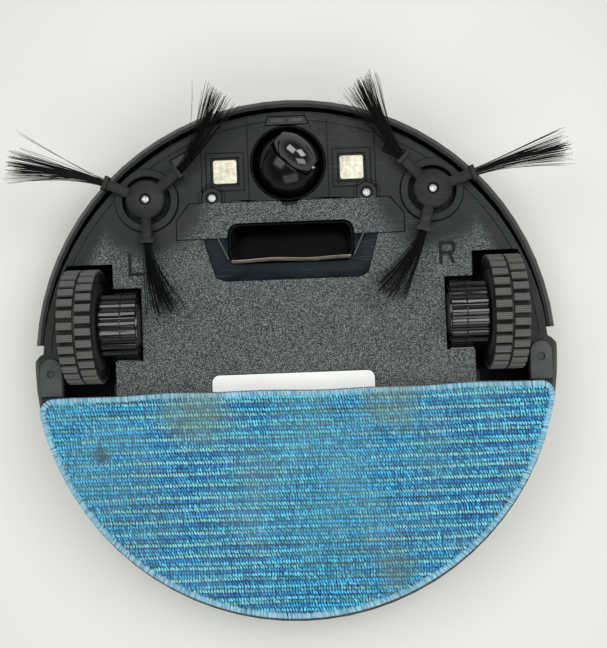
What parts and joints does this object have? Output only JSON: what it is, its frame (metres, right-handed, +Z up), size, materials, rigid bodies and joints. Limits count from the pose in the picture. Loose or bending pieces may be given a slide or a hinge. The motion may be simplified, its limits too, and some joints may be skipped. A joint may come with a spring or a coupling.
{
  "type": "robot vacuum",
  "caption": "Round robot vacuum with a mop pad, two side brushes, sprung drive wheels, a caster and a suction mouth underneath.",
  "frame": {"origin": "on the floor under the centre of the round body, with the drive wheels fully dropped", "axes": "+Z up, the bumper faces -Y, the right-hand side mark is towards +X"},
  "size_m": [0.3131, 0.3069, 0.0949],
  "materials": {
    "grained_plastic": "fine spark-eroded grain, faintly dusty",
    "satin_plastic": "satin, smooth",
    "gloss_plastic": "high gloss",
    "grey_plastic": "matte, lightly grained",
    "smoked_plastic": "translucent blue-grey, glossy",
    "bin_plastic": "smoked, glossy",
    "dark_window": "infrared-clear, glossy",
    "light_guide": "frosted",
    "label_film": "satin film, blank",
    "steel": "zinc plated",
    "nickel": "dulled nickel",
    "tyre_rubber": "matte rubber, dusty",
    "soft_rubber": "matte soft rubber",
    "pale_rubber": "worn pale edge",
    "bristle": "black nylon",
    "microfibre": "blue looped microfibre in fine rows",
    "filter_paper": "pleated",
    "battery_wrap": "shrink wrap",
    "circuit_board": "solder mask"
  },
  "bodies": {
    "root": {"base_chassis": "grained_plastic", "top_cover": "satin_plastic", "top_panel": "gloss_plastic", "battery_cover": "grained_plastic", "battery_pack": "battery_wrap", "main_board": "circuit_board", "rating_label": "label_film", "front_cliff_window": "dark_window", "suction_duct": "gloss_plastic", "inlet_tray": "smoked_plastic", "suction_lip": "pale_rubber", "fan_housing": "satin_plastic", "fan_motor": "steel", "indicator_ring": "light_guide", "charging_jack": "satin_plastic", "caster_socket": "gloss_plastic", "left_cover_screw": "steel", "left_charging_contact": "nickel", "left_cliff_window": "dark_window", "left_brush_motor": "grey_plastic", "left_suspension_spring": "steel", "left_wheel_housing": "satin_plastic", "right_cover_screw": "steel", "right_charging_contact": "nickel", "right_cliff_window": "dark_window", "right_brush_motor": "grey_plastic", "right_suspension_spring": "steel", "right_wheel_housing": "satin_plastic"},
    "bumper": {"front_bumper": "satin_plastic", "bumper_window": "dark_window"},
    "left_brush": {"left_brush_hub": "soft_rubber", "left_brush_screw": "steel", "left_brush_tuft_1": "bristle", "left_brush_tuft_2": "bristle", "left_brush_tuft_3": "bristle"},
    "left_swing_arm": {"left_gearbox": "gloss_plastic", "left_drive_motor": "steel"},
    "left_wheel": {"left_tyre": "tyre_rubber", "left_wheel_hub": "grey_plastic"},
    "right_brush": {"right_brush_hub": "soft_rubber", "right_brush_screw": "steel", "right_brush_tuft_1": "bristle", "right_brush_tuft_2": "bristle", "right_brush_tuft_3": "bristle"},
    "right_swing_arm": {"right_gearbox": "gloss_plastic", "right_drive_motor": "steel"},
    "right_wheel": {"right_tyre": "tyre_rubber", "right_wheel_hub": "grey_plastic"},
    "caster_mount": {"caster_collar": "grey_plastic"},
    "caster_swivel": {"caster_fork": "gloss_plastic", "caster_axle": "steel"},
    "caster_roller": {"caster_wheel": "gloss_plastic"},
    "bin": {"dustbin": "bin_plastic", "dustbin_lid": "satin_plastic", "dust_filter": "filter_paper"},
    "bin_button": {"bin_release_button": "gloss_plastic"},
    "button": {"power_button": "satin_plastic"},
    "mop": {"mop_plate": "grey_plastic", "mop_cloth": "microfibre"},
    "fan": {"fan_impeller": "grey_plastic"}
  },
  "joints": [
    {"name": "bumper_press", "type": "slide", "parent": "root", "child": "bumper", "axis": [0, 1, 0], "range_m": [0, 0.004], "stiffness_N_per_m": 400, "springref_m": -0.003},
    {"name": "left_brush_spin", "type": "hinge", "parent": "root", "child": "left_brush", "pos_m": [-0.0818, -0.0937, 0.024], "axis": [0, 0, 1], "continuous": true, "deforming": ["left_brush_tuft_1", "left_brush_tuft_2", "left_brush_tuft_3"]},
    {"name": "right_brush_spin", "type": "hinge", "parent": "root", "child": "right_brush", "pos_m": [0.0818, -0.0937, 0.024], "axis": [0, 0, -1], "continuous": true, "deforming": ["right_brush_tuft_1", "right_brush_tuft_2", "right_brush_tuft_3"]},
    {"name": "left_suspension", "type": "hinge", "parent": "root", "child": "left_swing_arm", "pos_m": [-0.093, 0.0153, 0.041], "axis": [-1, 0, 0], "range_deg": [0, 27], "stiffness_Nm_per_rad": 0.3, "springref_deg": -22.92},
    {"name": "right_suspension", "type": "hinge", "parent": "root", "child": "right_swing_arm", "pos_m": [0.093, 0.0153, 0.041], "axis": [-1, 0, 0], "range_deg": [0, 27], "stiffness_Nm_per_rad": 0.3, "springref_deg": -22.92},
    {"name": "left_wheel_spin", "type": "hinge", "parent": "left_swing_arm", "child": "left_wheel", "pos_m": [-0.1205, -0.0227, 0.033], "axis": [1, 0, 0], "continuous": true},
    {"name": "right_wheel_spin", "type": "hinge", "parent": "right_swing_arm", "child": "right_wheel", "pos_m": [0.1205, -0.0227, 0.033], "axis": [1, 0, 0], "continuous": true},
    {"name": "caster_pull", "type": "slide", "parent": "root", "child": "caster_mount", "axis": [0, 0, -1], "range_m": [0, 0.012]},
    {"name": "caster_turn", "type": "hinge", "parent": "caster_mount", "child": "caster_swivel", "pos_m": [0, -0.1125, 0.042], "axis": [0, 0, 1], "continuous": true},
    {"name": "caster_roll", "type": "hinge", "parent": "caster_swivel", "child": "caster_roller", "pos_m": [0.00468, -0.1177, 0.0275], "axis": [0.7431, 0.6691, 0], "continuous": true},
    {"name": "bin_slide", "type": "slide", "parent": "root", "child": "bin", "axis": [0, 1, 0], "range_m": [0, 0.11]},
    {"name": "bin_button_press", "type": "slide", "parent": "bin", "child": "bin_button", "axis": [0, -1, 0], "range_m": [0, 0.0025], "stiffness_N_per_m": 800, "springref_m": -0.001},
    {"name": "power_button_press", "type": "slide", "parent": "root", "child": "button", "axis": [0, 0, -1], "range_m": [0, 0.0015], "stiffness_N_per_m": 1000, "springref_m": -0.0005},
    {"name": "mop_pull", "type": "slide", "parent": "root", "child": "mop", "axis": [0, 0, -1], "range_m": [0, 0.015]},
    {"name": "fan_spin", "type": "hinge", "parent": "root", "child": "fan", "pos_m": [0, -0.006, 0.068], "axis": [0, 0, 1], "continuous": true}
  ]
}
